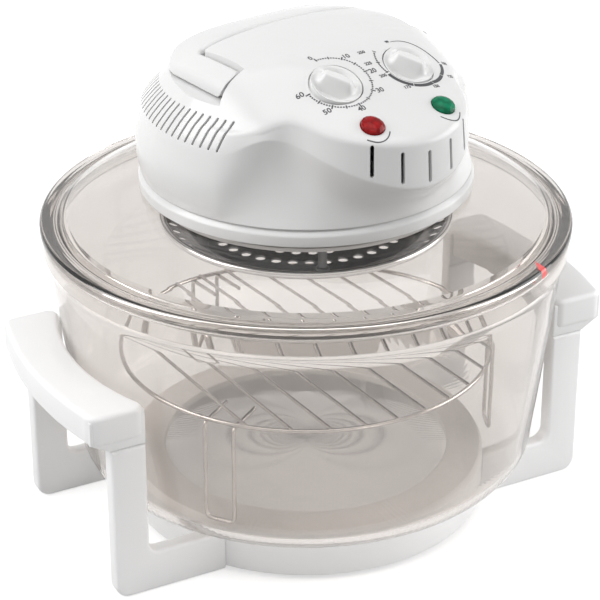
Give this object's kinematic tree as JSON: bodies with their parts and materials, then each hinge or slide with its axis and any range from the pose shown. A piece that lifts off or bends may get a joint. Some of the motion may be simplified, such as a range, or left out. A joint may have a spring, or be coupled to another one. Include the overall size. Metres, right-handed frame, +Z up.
{
  "type": "halogen oven",
  "caption": "Round glass oven bowl in a two-handled stand, with a wire rack inside and a lift-off glass lid that carries a moulded fan-heater head with dials.",
  "frame": {"origin": "on the table under the middle of the bowl, at the centre of the underside of the bounding box", "axes": "+X runs through the right-hand grip, +Z is up, and the dials on the head face -Y, turned 9 degrees towards +X"},
  "size_m": [0.372, 0.3298, 0.3194],
  "materials": {
    "white_gloss": "moulded glossy white plastic",
    "white_satin": "moulded satin white plastic",
    "tinted_glass": "clear toughened glass with a light warm tint, dark along its rims",
    "chrome": "bright chrome plating",
    "steel": "plain bright steel",
    "dark_metal": "dark heat-resistant metal",
    "silicone": "pale silicone",
    "black_plastic": "black plastic",
    "ceramic": "off-white heat-resistant ceramic",
    "lamp_glass": "frosted quartz lamp tube",
    "red_lens": "clear faceted red plastic",
    "green_lens": "clear faceted green plastic"
  },
  "bodies": {
    "stand": {"seat_ring": "white_satin", "leg_front_left": "white_satin", "leg_front_right": "white_satin", "leg_back_left": "white_satin", "leg_back_right": "white_satin", "leg_screw_front_left": "steel", "leg_screw_front_right": "steel", "leg_screw_back_left": "steel", "leg_screw_back_right": "steel", "grip_left": "white_satin", "grip_right": "white_satin"},
    "bowl": {"glass_bowl": "tinted_glass"},
    "rack": {"rack": "chrome"},
    "lid": {"lid_glass": "tinted_glass", "head_ring": "white_gloss", "clamp_ring": "steel", "seal": "silicone", "clamp_bolt_1": "steel", "clamp_bolt_2": "steel", "clamp_bolt_3": "steel", "reflector": "steel", "halogen_lamp": "lamp_glass", "lamp_holder_left": "ceramic", "lamp_holder_right": "ceramic", "guard_dish": "chrome", "guard_post_1": "dark_metal", "guard_post_2": "dark_metal", "guard_post_3": "dark_metal", "motor": "dark_metal", "motor_bracket": "steel", "base_plate": "steel", "head_shell": "white_gloss", "shell_screw_1": "steel", "shell_screw_2": "steel", "shell_screw_3": "steel", "shell_screw_4": "steel", "pivot_pin_left": "steel", "pivot_pin_right": "steel", "timer": "black_plastic", "thermostat": "ceramic", "red_lens": "red_lens", "red_lens_lamp": "black_plastic", "green_lens": "green_lens", "green_lens_lamp": "black_plastic", "safety_switch": "black_plastic", "terminal_block": "ceramic", "cord_gland": "white_gloss"},
    "handle": {"carry_handle": "white_gloss"},
    "timer_dial": {"timer_knob": "white_gloss"},
    "thermostat_dial": {"thermostat_knob": "white_gloss"},
    "rotor": {"fan_shaft": "steel", "hot_air_fan": "dark_metal", "cooling_fan": "steel", "fan_nut": "steel"}
  },
  "joints": [
    {"name": "bowl_lift", "type": "slide", "parent": "stand", "child": "bowl", "axis": [0, 0, 1], "range_m": [0, 0.25]},
    {"name": "rack_lift", "type": "slide", "parent": "bowl", "child": "rack", "axis": [0, 0, 1], "range_m": [0, 0.07]},
    {"name": "lid_lift", "type": "slide", "parent": "bowl", "child": "lid", "axis": [0, 0, 1], "range_m": [0, 0.25]},
    {"name": "carry_handle_hinge", "type": "hinge", "parent": "lid", "child": "handle", "pos_m": [0.00224, -0.01412, 0.3024], "axis": [0.9877, 0.1564, 0], "range_deg": [0, 90]},
    {"name": "timer_turn", "type": "hinge", "parent": "lid", "child": "timer_dial", "pos_m": [-0.01601, -0.06835, 0.3065], "axis": [-0.0651, 0.4112, -0.9092], "range_deg": [0, 300]},
    {"name": "thermostat_turn", "type": "hinge", "parent": "lid", "child": "thermostat_dial", "pos_m": [0.03634, -0.06005, 0.3065], "axis": [-0.0651, 0.4112, -0.9092], "range_deg": [0, 270]},
    {"name": "fan_spin", "type": "hinge", "parent": "lid", "child": "rotor", "pos_m": [0, 0, 0.24], "axis": [0, 0, 1], "continuous": true}
  ]
}
